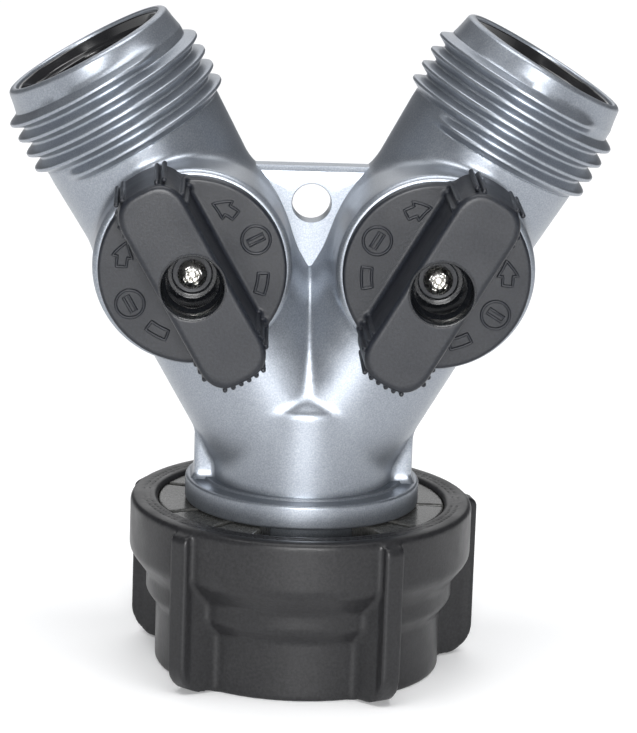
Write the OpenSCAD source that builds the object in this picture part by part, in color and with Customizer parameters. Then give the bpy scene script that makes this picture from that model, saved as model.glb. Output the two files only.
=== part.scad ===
// Two-way garden hose splitter: a die-cast Y body with two ball valves,
// a swivelling wing nut on the inlet and two male hose outlets.
// Millimetres. The origin is the centre of the nut's mouth, +Z runs up the
// inlet axis, the outlets lean to -X and +X, the knobs face -Y.
// Both valves are drawn open, with each bar along its own outlet.

/* [Hose thread] */
// Outside diameter of the male outlet threads
hose_thread_d = 26.98; // [26.5:0.01:27.2]
// Thread pitch, 11.5 threads per inch
hose_pitch = 2.209; // [2.1:0.001:2.3]
// Depth of the male thread
male_depth = 1.39; // [1.0:0.01:1.5]
// Inside diameter of the nut's thread
nut_minor_d = 24.92; // [24.6:0.01:25.2]
// Depth of the nut's thread
nut_depth = 1.09; // [0.8:0.01:1.3]
// Width of each thread crest
crest_w = 0.35; // [0.2:0.01:0.6]

/* [Body] */
// Lean of each outlet from the inlet axis
arm_angle = 30; // [20:1:45]
// Height where the two outlet axes meet
apex_z = 30.5; // [28:0.1:34]
// Distance from the meeting point to each mouth
arm_len = 60; // [56:0.5:64]
// Radius of an arm beside its valve
arm_r = 11.9; // [11.5:0.1:13]
// Radius of an arm just below its thread
arm_top_r = 12.25; // [11.8:0.05:13]
// Radius of the plain neck above the flange
neck_r = 12.1; // [11.5:0.1:13]
// Height of the top of the neck
neck_top_z = 37; // [34:0.5:40]
// Radius of the flange above the nut
flange_r = 15.6; // [14.5:0.1:17]
// Height of the underside of the flange
flange_z = 22.3; // [21:0.1:24]
// Thickness of the flange
flange_t = 3.25; // [2:0.05:5]
// Half width across the two side webs
web_x = 14.5; // [13:0.1:15.5]
// Thickness of the side webs
web_t = 6; // [3:0.5:8]
// Radius of each valve boss
boss_r = 12.75; // [11.5:0.05:14]
// How far the boss face stands in front of the axes
boss_front = 17.5; // [15:0.1:19]
// How far the back pad stands behind the axes
boss_back = 13; // [12:0.1:15]

/* [Hanging tab] */
// Height of the tab's top edge
tab_top_z = 67.8; // [64:0.1:70]
// Half width of the tab at its top edge
tab_half_w = 7.6; // [6:0.1:9]
// Tab thickness
tab_t = 3; // [2:0.1:5]
// Height of the hole centre
tab_hole_z = 62.9; // [60:0.1:65]
// Hole diameter
tab_hole_d = 5.1; // [3:0.1:6]

/* [Valves] */
// Distance of each valve from the inlet axis
valve_x = 15.55; // [14.5:0.05:17]
// Ball radius
ball_r = 8.6; // [7.5:0.05:9]
// Waterway radius through the ball
ball_bore_r = 5.5; // [4:0.1:6]
// Valve chamber radius
chamber_r = 9.3; // [8.6:0.05:9.6]
// Radius of the bore that takes the outlet sleeve
mouth_r = 10.5; // [10:0.05:10.8]
// Waterway radius of the sleeve
sleeve_bore_r = 8.9; // [8:0.1:9.4]
// Stem radius
stem_r = 3.5; // [3:0.05:4]
// Stem running clearance, radial
stem_gap = 0.06; // [0.02:0.01:0.1]

/* [Knobs] */
// Disc radius
disc_r = 12; // [11:0.05:13]
// Distance of the disc's front face from the axes
disc_front = 19.7; // [18:0.1:21]
// Disc thickness
disc_t = 2; // [1.5:0.1:4]
// Height of the bar above the disc
bar_h = 10; // [6:0.1:11]
// Bar width at the top
bar_w = 9; // [8:0.1:11]
// Half length of the bar
bar_half = 14; // [13:0.1:15]
// Radius of the screw well in the bar
well_r = 3.95; // [3:0.05:4.2]
// Depth of the screw well
well_depth = 8.4; // [6:0.1:9]
// Grip rib height
rib_r = 0.3; // [0.2:0.05:0.5]

/* [Wing nut] */
// Radius of the upper band
nut_top_r = 22.85; // [21:0.05:24]
// Radius of the middle band
nut_mid_r = 20.5; // [19.5:0.1:22]
// Radius of the lower tube
nut_low_r = 19.1; // [18:0.1:20]
// Height of the top of the lower tube
nut_low_top = 8; // [6:0.1:9]
// Height of the foot of the middle band
nut_mid_z = 10; // [9:0.1:11]
// Height of the top of the middle band
nut_mid_top = 12.1; // [11:0.1:13]
// Height of the foot of the upper band
nut_top_z = 16; // [14:0.1:17]
// Height of the nut
nut_h = 22.6; // [21:0.1:24]
// Radius to the tips of the wings
wing_r = 24.2; // [23:0.1:25]
// Number of wings
wing_n = 5; // [4:1:8]
// Angle of the first wing from the front
wing_phase = 29; // [0:1:72]
// Wing thickness at the tip
wing_t = 2.7; // [1.8:0.1:4]

/* [Swivel] */
// Radius of the spigot the nut turns on
spigot_r = 11.2; // [10.5:0.05:12]
// Swivel running clearance, radial
spigot_gap = 0.08; // [0.02:0.01:0.1]
// Radius of the collar that keeps the nut on
tail_r = 12.6; // [12:0.05:13.2]
// Height of the tail face against the washer
tail_z = 14.2; // [13:0.1:16]
// Height of the underside of the snap ring
ring_z = 18.85; // [17:0.05:20]
// Inlet waterway radius
inlet_r = 8; // [7:0.1:9]

/* [Hidden] */
$fn = 96;
eps = 0.01;
through = 40; // longer than any hole that it cuts
valve_s = valve_x / sin(arm_angle);
valve_z = apex_z + valve_s * cos(arm_angle);
male_crest_r = hose_thread_d / 2;
male_root_r = male_crest_r - male_depth;
nut_crest_r = nut_minor_d / 2;
nut_root_r = nut_crest_r + nut_depth;
// Outlet arm, by distance from the meeting point: taper, shoulder, thread, rim.
taper_s = 37;
shoulder_s = 46.6;
first_crest_s = 48.6;
thread_n = 4;
collar_s = 56.4;
mouth_floor_s = 42;
// Nut's thread.
first_land_z = 1.3;
land_n = 5;
// Boss and back pad.
edge = 0.4;
pad_base_r = 11.6;
pad_r = 10.8;
web_h = 8;
foot_w = 2.4;
// Stem: bore, retaining collar, tang in the ball, drive square, ring grooves.
stem_bore_r = stem_r + stem_gap;
stem_collar_r = 4.6;
stem_collar_z = 9;
stem_collar_top = 10.55;
stem_pocket_r = 4.9;
stem_pocket_z = 10.7;
tang_r = 4.4;
tang_t = 3;
tang_z = 6.4;
drive_w = 5.2;
groove_z = [11.6, 14.2];
groove_h = 1.4;
groove_r = 2.6;
stem_ring_r = 3.08;
stem_ring_wire = 0.46;
// Knob and screw.
disc_back = disc_front - disc_t;
bar_top = disc_front + bar_h;
bar_back = disc_back + 0.1;
well_y = bar_top - well_depth;
flange_top = flange_z + flange_t;
screw_r = 1.2;
screw_l = 7;
screw_head_r = 2.05;
well_floor_r = 3.1;
step_in_r = 2.35;
step_out_r = 3.2;
step_h = 0.5;
// Ball seats and outlet sleeve.
seat_in = 5.1;
seat_h = 2.4;
seat_hole_r = 6.2;
sleeve_foot_s = valve_s + seat_in + seat_h + 0.05;
sleeve_foot_r = 9.2;
sleeve_hole_r = 6.5;
sleeve_r = mouth_r - 0.06;
sleeve_step_s = mouth_floor_s + 0.1;
sleeve_groove_s = 44;
sleeve_groove_h = 1.5;
sleeve_groove_r = 9.3;
sleeve_ring_r = 9.9;
sleeve_ring_wire = 0.58;
sleeve_top_s = arm_len - 0.5;
// Wings: inner end inside the nut's wall, foot and height.
wing_in_r = 17;
wing_z = 0.2;
wing_h = 21.6;
// Nut's washer seat, and the washer.
seat_bore_r = 13.9;
seat_bore_z = 10.95;
washer_z = 11;
washer_top_z = 14.15;
washer_in_r = 7.95;
washer_out_r = 12.7;
// Snap ring: its top, radius, open sector and slots.
ring_top_z = 22.1;
ring_step_t = 2.7;
ring_step_r = 19.1;
slot_in_r = 14;
slot_w = 0.9;
slot_depth = 1.6;
ring_r = 19.5;
gap_lo = -22;
gap_hi = 34;
slot_angles = [-154, -110, -67, -40, 50, 86, 126, 166];

// ---- helpers -------------------------------------------------------------

// Into an arm's own frame: +Z along the arm from the meeting point.
module on_arm(side)
  translate([0, 0, apex_z]) rotate([0, side * arm_angle, 0]) children();

// Into a knob's own frame: origin on the valve axis, +Z towards the front (-Y),
// +Y along the arm.
module on_valve(side)
  translate([side * valve_x, 0, valve_z]) rotate([0, side * arm_angle, 0])
    rotate([90, 0, 0]) children();

// One thread ridge as a half section: crest radius, root radius, height.
module ridge(s, root_r, crest_r) {
  flank = abs(crest_r - root_r) * tan(30);
  polygon([[root_r, s - crest_w / 2 - flank], [crest_r, s - crest_w / 2],
           [crest_r, s + crest_w / 2], [root_r, s + crest_w / 2 + flank],
           [root_r - 0.4, s + crest_w / 2 + flank],
           [root_r - 0.4, s - crest_w / 2 - flank]]);
}

module o_ring(major, minor) rotate_extrude() translate([major, 0]) circle(r = minor, $fn = 32);

// ---- body ----------------------------------------------------------------

module arm_outside(side) on_arm(side) {
  rotate_extrude()
    polygon([[0, 2], [arm_r, 2], [arm_r, taper_s], [arm_top_r, shoulder_s],
             [arm_top_r, shoulder_s + 0.4], [male_root_r, shoulder_s + 0.6],
             [male_root_r, collar_s], [11.95, collar_s + 1.2], [11.7, arm_len - 1],
             [11.45, arm_len - 0.3], [11.0, arm_len], [0, arm_len]]);
  rotate_extrude()
    for (k = [0 : thread_n - 1])
      ridge(first_crest_s + k * hose_pitch, male_root_r, male_crest_r);
}

module arm_inside(side) on_arm(side) {
  cylinder(r = ball_bore_r + 0.1, h = through);
  translate([0, 0, valve_s - seat_in - seat_h - 0.1]) cylinder(r = chamber_r, h = through);
  translate([0, 0, mouth_floor_s]) cylinder(r = mouth_r, h = through);
}

module boss(side) translate([side * valve_x, 0, valve_z]) {
  rotate([90, 0, 0]) {
    cylinder(r1 = boss_r + 0.3, r2 = boss_r, h = boss_front - edge);
    translate([0, 0, boss_front - edge]) cylinder(r1 = boss_r, r2 = boss_r - edge, h = edge);
  }
  rotate([-90, 0, 0]) cylinder(r1 = pad_base_r, r2 = pad_r, h = boss_back);
}

module stem_holes(side) on_valve(side) {
  cylinder(r = stem_bore_r, h = through);
  cylinder(r = stem_pocket_r, h = stem_pocket_z);
}

module neck() rotate_extrude()
  polygon([[0, tail_z], [tail_r - edge, tail_z], [tail_r, tail_z + edge], [tail_r, ring_z - 0.1],
           [spigot_r, ring_z - 0.1], [spigot_r, flange_z],
           [flange_r - edge, flange_z], [flange_r, flange_z + edge],
           [flange_r, flange_top - 0.6], [flange_r - 0.6, flange_top],
           [neck_r + 0.9, flange_top], [neck_r, flange_top + 0.9],
           [neck_r, neck_top_z - edge], [neck_r - edge, neck_top_z], [0, neck_top_z]]);

module webs() {
  translate([-web_x, -web_t / 2, flange_top - 0.5]) cube([2 * web_x, web_t, web_h + 0.5]);
  for (side = [-1, 1])
    translate([side * (web_x - foot_w / 2) - foot_w / 2, -web_t / 2 - 1, flange_top - 0.5])
      cube([foot_w, web_t + 2, 1.3]);
}

module tab() difference() {
  translate([-tab_half_w, -tab_t / 2, 48]) cube([2 * tab_half_w, tab_t, tab_top_z - 48]);
  // Chamfer along the front of the top edge.
  translate([-tab_half_w - 1, -tab_t / 2 - 1, tab_top_z]) rotate([-45, 0, 0])
    cube([2 * tab_half_w + 2, 2, 2]);
}

module y_body() color([0.62, 0.64, 0.67]) difference() {
  union() {
    neck();
    webs();
    tab();
    for (side = [-1, 1]) { arm_outside(side); boss(side); }
  }
  for (side = [-1, 1]) { arm_inside(side); stem_holes(side); }
  translate([0, 0, tail_z - 1]) cylinder(r = inlet_r, h = apex_z + 1 - tail_z);
  translate([0, 0, apex_z]) cylinder(r1 = inlet_r, r2 = 4, h = 6);
  translate([0, 10, tab_hole_z]) rotate([90, 0, 0]) cylinder(d = tab_hole_d, h = 20);
}

// ---- outlet sleeve and its ring --------------------------------------------

module outlet_sleeve(side) color([0.05, 0.05, 0.055]) on_arm(side) rotate_extrude()
  polygon([[sleeve_hole_r, sleeve_foot_s], [sleeve_foot_r, sleeve_foot_s],
           [sleeve_foot_r, sleeve_step_s], [sleeve_r, sleeve_step_s],
           [sleeve_r, sleeve_groove_s], [sleeve_groove_r, sleeve_groove_s],
           [sleeve_groove_r, sleeve_groove_s + sleeve_groove_h],
           [sleeve_r, sleeve_groove_s + sleeve_groove_h],
           [sleeve_r, sleeve_top_s - 0.3], [mouth_r - 0.4, sleeve_top_s],
           [9.9, sleeve_top_s], [9.5, sleeve_top_s - 1.4],
           [sleeve_bore_r, sleeve_top_s - 1.7], [sleeve_bore_r, sleeve_step_s + 1.5],
           [sleeve_hole_r, sleeve_step_s - 0.5]]);

module sleeve_o_ring(side) color([0.03, 0.03, 0.03]) on_arm(side)
  translate([0, 0, sleeve_groove_s + sleeve_groove_h / 2]) o_ring(sleeve_ring_r, sleeve_ring_wire);

// ---- ball, seats, stem -----------------------------------------------------

module ball_seat(side, up) color([0.9, 0.9, 0.88]) on_arm(side) translate([0, 0, valve_s])
  difference() {
    translate([0, 0, up > 0 ? seat_in : -seat_in - seat_h])
      cylinder(r = chamber_r - 0.05, h = seat_h);
    translate([0, 0, -through / 2]) cylinder(r = seat_hole_r, h = through);
    sphere(r = ball_r + 0.05, $fn = 128);
  }

module ball(side) color([0.8, 0.8, 0.82]) on_valve(side) difference() {
  sphere(r = ball_r, $fn = 128);
  rotate([90, 0, 0]) translate([0, 0, -through / 2]) cylinder(r = ball_bore_r, h = through);
  // Slot for the stem's tang.
  translate([-5, -tang_t / 2 - 0.05, tang_z - 0.1]) cube([10, tang_t + 0.1, 5]);
}

module stem(side) color([0.72, 0.6, 0.35]) on_valve(side) difference() {
  union() {
    intersection() {
      translate([-tang_r, -tang_t / 2, tang_z]) cube([2 * tang_r, tang_t, 3]);
      cylinder(r = tang_r, h = stem_collar_top);
    }
    translate([0, 0, stem_collar_z]) cylinder(r = stem_collar_r, h = stem_collar_top - stem_collar_z);
    translate([0, 0, 10]) cylinder(r = stem_r, h = boss_front - 10);
    intersection() {
      translate([0, 0, boss_front - 1]) cylinder(r = stem_r, h = well_y - boss_front - 0.1);
      translate([-drive_w / 2, -drive_w / 2, 0]) cube([drive_w, drive_w, through]);
    }
  }
  for (z = groove_z) translate([0, 0, z]) difference() {
    cylinder(r = 5, h = groove_h);
    translate([0, 0, -1]) cylinder(r = groove_r, h = groove_h + 2);
  }
  // Tapped hole for the knob's screw.
  translate([0, 0, well_y - screw_l - 0.6]) cylinder(r = screw_r + 0.05, h = screw_l + 5);
}

module stem_o_rings(side) color([0.03, 0.03, 0.03]) on_valve(side)
  for (z = groove_z) translate([0, 0, z + groove_h / 2]) o_ring(stem_ring_r, stem_ring_wire);

// ---- knob and its screw ----------------------------------------------------

// Outline of the bar: straight sides, ends on an arc about the knob's axis.
module bar_outline(w, half, corner) {
  hc = half - corner;
  yc = sqrt(hc * hc - pow(w / 2 - corner, 2));
  intersection() {
    circle(r = half, $fn = 128);
    union() {
      translate([-w / 2, -yc]) square([w, 2 * yc]);
      translate([-w / 2 + corner, -half]) square([w - 2 * corner, 2 * half]);
    }
  }
  for (x = [-1, 1], y = [-1, 1])
    translate([x * (w / 2 - corner), y * yc]) circle(r = corner, $fn = 48);
}

module grip_ribs() {
  h = bar_top - bar_back - 0.6;
  // End arc, lower end.
  for (k = [-2.5 : 1 : 2.5]) rotate([0, 0, k * 4.5]) translate([0, -bar_half, 0])
    cylinder(r = rib_r, h = h, $fn = 16);
  // Upper end, near both corners.
  for (k = [-12, -8, 8, 12]) rotate([0, 0, k]) translate([0, bar_half, 0])
    cylinder(r = rib_r, h = h, $fn = 16);
  // Long sides, near both ends.
  for (x = [-1, 1], y = [-10.6, -9.4, 9.4, 10.6]) translate([x * bar_w / 2, y, 0])
    cylinder(r = rib_r, h = h, $fn = 16);
}

module knob(side) color([0.12, 0.12, 0.13]) on_valve(side) difference() {
  union() {
    translate([0, 0, disc_back]) cylinder(r = disc_r, h = disc_t - 0.3);
    translate([0, 0, disc_front - 0.3]) cylinder(r1 = disc_r, r2 = disc_r - 0.3, h = 0.3);
    translate([0, 0, bar_back]) linear_extrude(height = bar_top - bar_back - 0.5)
      bar_outline(bar_w, bar_half, 2.4);
    translate([0, 0, bar_top - 0.5]) linear_extrude(height = 0.5)
      bar_outline(bar_w - 0.5, bar_half - 0.25, 2.2);
    translate([0, 0, bar_back]) grip_ribs();
  }
  // Screw well, with a step ring round its floor, and the screw's clearance hole.
  translate([0, 0, well_y]) difference() {
    cylinder(r1 = well_floor_r, r2 = well_r, h = well_depth + eps);
    translate([0, 0, -eps]) difference() {
      cylinder(r = step_out_r, h = step_h + eps);
      translate([0, 0, -1]) cylinder(r = step_in_r, h = step_h + 2);
    }
  }
  cylinder(r = screw_r + 0.4, h = through);
  // Square drive for the stem.
  translate([-drive_w / 2 - 0.05, -drive_w / 2 - 0.05, 0])
    cube([drive_w + 0.1, drive_w + 0.1, well_y - 1]);
}

module knob_screw(side) color([0.75, 0.75, 0.77]) on_valve(side) difference() {
  union() {
    translate([0, 0, well_y - screw_l]) cylinder(r = screw_r, h = screw_l + 0.2);
    translate([0, 0, well_y]) rotate_extrude()
      polygon([[0, 0], [screw_head_r, 0], [screw_head_r, 0.7], [screw_head_r - 0.2, 1.15],
               [screw_head_r - 0.7, 1.5], [0, 1.65]]);
  }
  // Cross recess.
  for (a = [0, 90]) rotate([0, 0, a]) translate([-1.15, -0.24, well_y + 0.65])
    cube([2.3, 0.48, 2]);
}

// ---- wing nut, snap ring, washer -------------------------------------------

// One wing as a flat outline in radius and height, lower outer corner rounded.
module wing_outline() {
  top_corner = 1.5;
  low_corner = 4;
  wing_top = wing_z + wing_h;
  difference() {
    translate([wing_in_r, wing_z]) square([wing_r - wing_in_r, wing_h]);
    translate([wing_r - low_corner, wing_z - 1]) square([low_corner + 1, low_corner + 1]);
    translate([wing_r - top_corner, wing_top - top_corner]) square([top_corner + 1, top_corner + 1]);
  }
  translate([wing_r - low_corner, wing_z + low_corner]) circle(r = low_corner);
  translate([wing_r - top_corner, wing_top - top_corner]) circle(r = top_corner, $fn = 48);
}

module wings() for (k = [0 : wing_n - 1])
  rotate([0, 0, wing_phase - 90 + k * 360 / wing_n]) translate([0, wing_t / 2, 0])
    rotate([90, 0, 0]) linear_extrude(height = wing_t) wing_outline();

module coupling_nut() color([0.11, 0.11, 0.115]) difference() {
  union() {
    rotate_extrude() polygon([
      [0, 0], [nut_low_r - 0.4, 0], [nut_low_r, 0.4], [nut_low_r, nut_low_top],
      [nut_mid_r - 0.2, nut_mid_z - 0.4], [nut_mid_r, nut_mid_z], [nut_mid_r, nut_mid_top],
      [nut_mid_r + 0.2, nut_mid_top + 0.5], [nut_top_r - 0.4, nut_top_z - 1.1],
      [nut_top_r, nut_top_z],
      [nut_top_r, nut_h - 1.3], [nut_top_r - 0.4, nut_h - 0.5], [nut_top_r - 1.1, nut_h],
      [0, nut_h]]);
    wings();
  }
  // Thread and bores, cut as one turned section.
  translate([0, 0, -1]) cylinder(r = nut_crest_r, h = 13);
  rotate_extrude() polygon([[0, -1], [14.0, -1], [13.0, 0], [nut_crest_r, 0.45], [0, 0.45]]);
  rotate_extrude() for (k = [0 : land_n - 2])
    translate([0, first_land_z + crest_w + k * hose_pitch]) {
      flank = nut_depth * tan(30);
      polygon([[nut_crest_r - 0.4, 0], [nut_crest_r, 0], [nut_root_r, flank],
               [nut_root_r, hose_pitch - crest_w - flank], [nut_crest_r, hose_pitch - crest_w],
               [nut_crest_r - 0.4, hose_pitch - crest_w]]);
    }
  translate([0, 0, seat_bore_z]) cylinder(r = seat_bore_r, h = 12);
  // Pocket for the snap ring, and its lead-in.
  translate([0, 0, ring_z]) cylinder(r = ring_r + 0.06, h = ring_step_t + 0.05);
  translate([0, 0, ring_z]) cylinder(r = ring_step_r + 0.1, h = 5);
  translate([0, 0, nut_h - 0.4]) cylinder(r1 = ring_step_r + 0.1, r2 = ring_step_r + 0.6, h = 0.5);
}

module nut_snap_ring() color([0.14, 0.14, 0.14]) difference() {
  union() {
    translate([0, 0, ring_z]) cylinder(r = ring_r, h = ring_step_t);
    translate([0, 0, ring_z]) cylinder(r = ring_step_r, h = ring_top_z - ring_z);
  }
  translate([0, 0, ring_z - 1]) cylinder(r = spigot_r + spigot_gap, h = 10);
  // Open sector at the front.
  translate([0, 0, ring_z - 1]) linear_extrude(height = 10)
    polygon([[0, 0], through * [sin(gap_lo), -cos(gap_lo)], through * [sin(gap_hi), -cos(gap_hi)]]);
  // Slots that let the ring spring.
  for (a = slot_angles) rotate([0, 0, a - 90])
    translate([slot_in_r, -slot_w / 2, ring_top_z - slot_depth]) cube([5.2, slot_w, 3]);
}

module hose_washer() color([0.05, 0.05, 0.05])
  rotate_extrude() polygon([[washer_in_r, washer_z], [washer_out_r, washer_z],
                            [washer_out_r, washer_top_z], [washer_in_r, washer_top_z]]);

// ---- named pieces ----------------------------------------------------------

module left_outlet_sleeve() outlet_sleeve(-1);
module right_outlet_sleeve() outlet_sleeve(1);
module left_sleeve_o_ring() sleeve_o_ring(-1);
module right_sleeve_o_ring() sleeve_o_ring(1);
module left_upper_ball_seat() ball_seat(-1, 1);
module right_upper_ball_seat() ball_seat(1, 1);
module left_lower_ball_seat() ball_seat(-1, -1);
module right_lower_ball_seat() ball_seat(1, -1);
module left_ball() ball(-1);
module right_ball() ball(1);
module left_stem() stem(-1);
module right_stem() stem(1);
module left_stem_o_rings() stem_o_rings(-1);
module right_stem_o_rings() stem_o_rings(1);
module left_knob() knob(-1);
module right_knob() knob(1);
module left_knob_screw() knob_screw(-1);
module right_knob_screw() knob_screw(1);

y_body();
left_outlet_sleeve();
right_outlet_sleeve();
left_sleeve_o_ring();
right_sleeve_o_ring();
left_upper_ball_seat();
right_upper_ball_seat();
left_lower_ball_seat();
right_lower_ball_seat();
left_ball();
right_ball();
left_stem();
right_stem();
left_stem_o_rings();
right_stem_o_rings();
left_knob();
right_knob();
left_knob_screw();
right_knob_screw();
coupling_nut();
nut_snap_ring();
hose_washer();
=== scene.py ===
"""Garden hose splitter: detailed meshes, materials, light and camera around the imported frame."""

import math

import bmesh
import bpy
import numpy as np
from mathutils import Matrix, Vector


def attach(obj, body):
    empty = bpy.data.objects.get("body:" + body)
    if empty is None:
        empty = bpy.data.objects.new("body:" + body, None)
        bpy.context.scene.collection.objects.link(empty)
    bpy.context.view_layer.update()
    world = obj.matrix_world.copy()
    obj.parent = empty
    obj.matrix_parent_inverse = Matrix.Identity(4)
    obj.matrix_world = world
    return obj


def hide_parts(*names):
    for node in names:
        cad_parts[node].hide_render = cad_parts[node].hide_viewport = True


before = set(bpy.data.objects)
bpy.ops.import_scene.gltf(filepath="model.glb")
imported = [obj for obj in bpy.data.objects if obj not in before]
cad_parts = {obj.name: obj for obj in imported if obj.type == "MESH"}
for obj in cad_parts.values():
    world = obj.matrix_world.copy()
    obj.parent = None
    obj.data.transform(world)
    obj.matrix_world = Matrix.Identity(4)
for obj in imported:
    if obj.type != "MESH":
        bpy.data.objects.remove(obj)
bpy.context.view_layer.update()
MM = 0.001

# ---- Sizes, in mm, as in the CAD model ------------------------------------
ARM = math.radians(30.0)
APEX_Z = 30.5
ARM_R, ARM_TOP_R = 11.9, 12.25
ARM_FOOT_S, WIDEN_S, TOP_S = 2.5, 37.0, 46.6  # where an arm starts, widens and is full
CUT_S = 45.7  # above it, the threaded end is a piece of its own
PITCH = 2.209
CREST_R, ROOT_R = 13.49, 12.1
THREAD_END_S, RIM_S = 57.3, 59.95
LEFT_CREST_S, RIGHT_CREST_S = 55.77, 55.64  # a crest's place on each arm's left
THREAD_FROM, THREAD_TO = -3.90, 0.39  # turns from that crest
SLEEVE_R, SLEEVE_GROOVE_R, SLEEVE_BORE_R, SLEEVE_FOOT_R = 10.44, 9.3, 8.9, 6.5
SLEEVE_FOOT_S, SLEEVE_TOP_S = 38.65, 59.5
CHAMBER_R, CHAMBER_S = 9.3, 23.5
MOUTH_R, MOUTH_S = 10.5, 42.0
PORT_R = 5.6
INLET_R, INLET_TOP = 8.0, 31.5
VALVE_X = 15.55
VALVE_S = VALVE_X / math.sin(ARM)
VALVE_Z = APEX_Z + VALVE_S * math.cos(ARM)
BOSS_R, BOSS_FRONT = 12.75, 17.5
PAD_R, PAD_BACK = 10.8, 13.0
STEM_BORE_R, STEM_SEAT_R, STEM_SEAT_Y = 3.56, 4.9, 10.7
NECK_R, NECK_FRONT, NECK_TOP = 12.1, 12.68, 36.9
FLANGE_R, FLANGE_Z, FLANGE_TOP = 15.6, 22.3, 25.55
SPIGOT_R, SPIGOT_FOOT_R, SPIGOT_Z, SPIGOT_FOOT_TOP = 11.2, 12.6, 14.2, 18.75
WEB_X, WEB_Y, WEB_MID, WEB_HALF = 14.5, 3.0, 28.5, 6.6
DISC_R, DISC_FRONT, DISC_T = 12.0, 19.7, 2.0
BAR_H, BAR_W, BAR_HALF = 10.0, 9.0, 14.0
BAR_TOP = DISC_FRONT + BAR_H
WELL_R, WELL_DEPTH, BOWL_WALL = 3.95, 8.4, 0.3
WELL_Y = BAR_TOP - WELL_DEPTH
GRIP_R, RIB_R = 13.95, 0.32  # grip ribs round the bar's ends
DRIVE_HALF, SCREW_HOLE_R = 2.65, 1.6
HEAD_R, SHANK_R, SHANK_LOW = 2.08, 1.2, 7.0
NUT_H, NUT_TOP_R, NUT_MID_R, NUT_LOW_R = 22.6, 22.85, 20.5, 19.1
WING_R, WING_T, WING_PHASE, WING_N = 24.2, 2.7, 29.0, 5
NUT_CREST, NUT_ROOT, NUT_THREAD_TOP = 12.46, 13.55, 10.6
SEAT_R, SEAT_Z = 13.9, 10.95
POCKET_R, POCKET_LIP_R, POCKET_TOP = 19.56, 19.2, 21.6
RING_Z, RING_TOP, RING_R = 18.85, 22.1, 19.5
RING_IN_R, RING_TOP_R, RING_STEP = 11.28, 19.1, 2.7
GAP = (-22.0, 34.0)  # degrees from the front
TAB_TOP, TAB_T = 67.8, 3.0
HOLE_R, HOLE_Z = 2.55, 62.9
SLOTS = (-154, -110, -67, -40, 50, 86, 126, 166)
SLOT_W, SLOT_IN_R, SLOT_DEPTH = 0.9, 14.0, 1.6


# ---- Signed distance helpers (numpy, mm) ----------------------------------
def smin(a, b, k):
    """Union with a fillet of about radius k."""
    h = np.maximum(k - np.abs(a - b), 0.0) / k
    return np.minimum(a, b) - h * h * k * 0.25


def smax(a, b, k):
    """Intersection with a rounded edge of about radius k."""
    return -smin(-a, -b, k)


def box2(x, y, hx, hy, r=0.0):
    """Rounded rectangle in two coordinates."""
    qx, qy = np.abs(x) - (hx - r), np.abs(y) - (hy - r)
    return (
        np.hypot(np.maximum(qx, 0), np.maximum(qy, 0))
        + np.minimum(np.maximum(qx, qy), 0)
        - r
    )


def box3(x, y, z, h, r=0.0):
    """Box of half sizes h with rounded edges."""
    q = [np.abs(c) - (s - r) for c, s in zip((x, y, z), h)]
    out = np.sqrt(sum(np.maximum(c, 0) ** 2 for c in q))
    return out + np.minimum(np.maximum(q[0], np.maximum(q[1], q[2])), 0) - r


def disc3(rad, ax, r, lo, hi, edge=0.0):
    """Cylinder of radius r between lo and hi along its axis, with rounded edges."""
    mid, half = (lo + hi) / 2, (hi - lo) / 2
    return box2(rad, ax - mid, r, half, edge)


def polyline_r(s, pts):
    """Radius along an axis from a list of (position, radius)."""
    return np.interp(s, [p[0] for p in pts], [p[1] for p in pts])


def arm_coords(side, x, y, z):
    """Position along an arm and across it, for side -1 (left) or 1 (right)."""
    dz = z - APEX_Z
    s = side * x * math.sin(ARM) + dz * math.cos(ARM)
    across = side * x * math.cos(ARM) - dz * math.sin(ARM)
    return s, np.hypot(across, y)


# ---- Meshing: surface nets, then points drawn onto the exact surface --------
NET_STEPS = 5  # Newton steps onto the surface
NET_SLAB = 24  # grid layers worked out at a time


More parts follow.
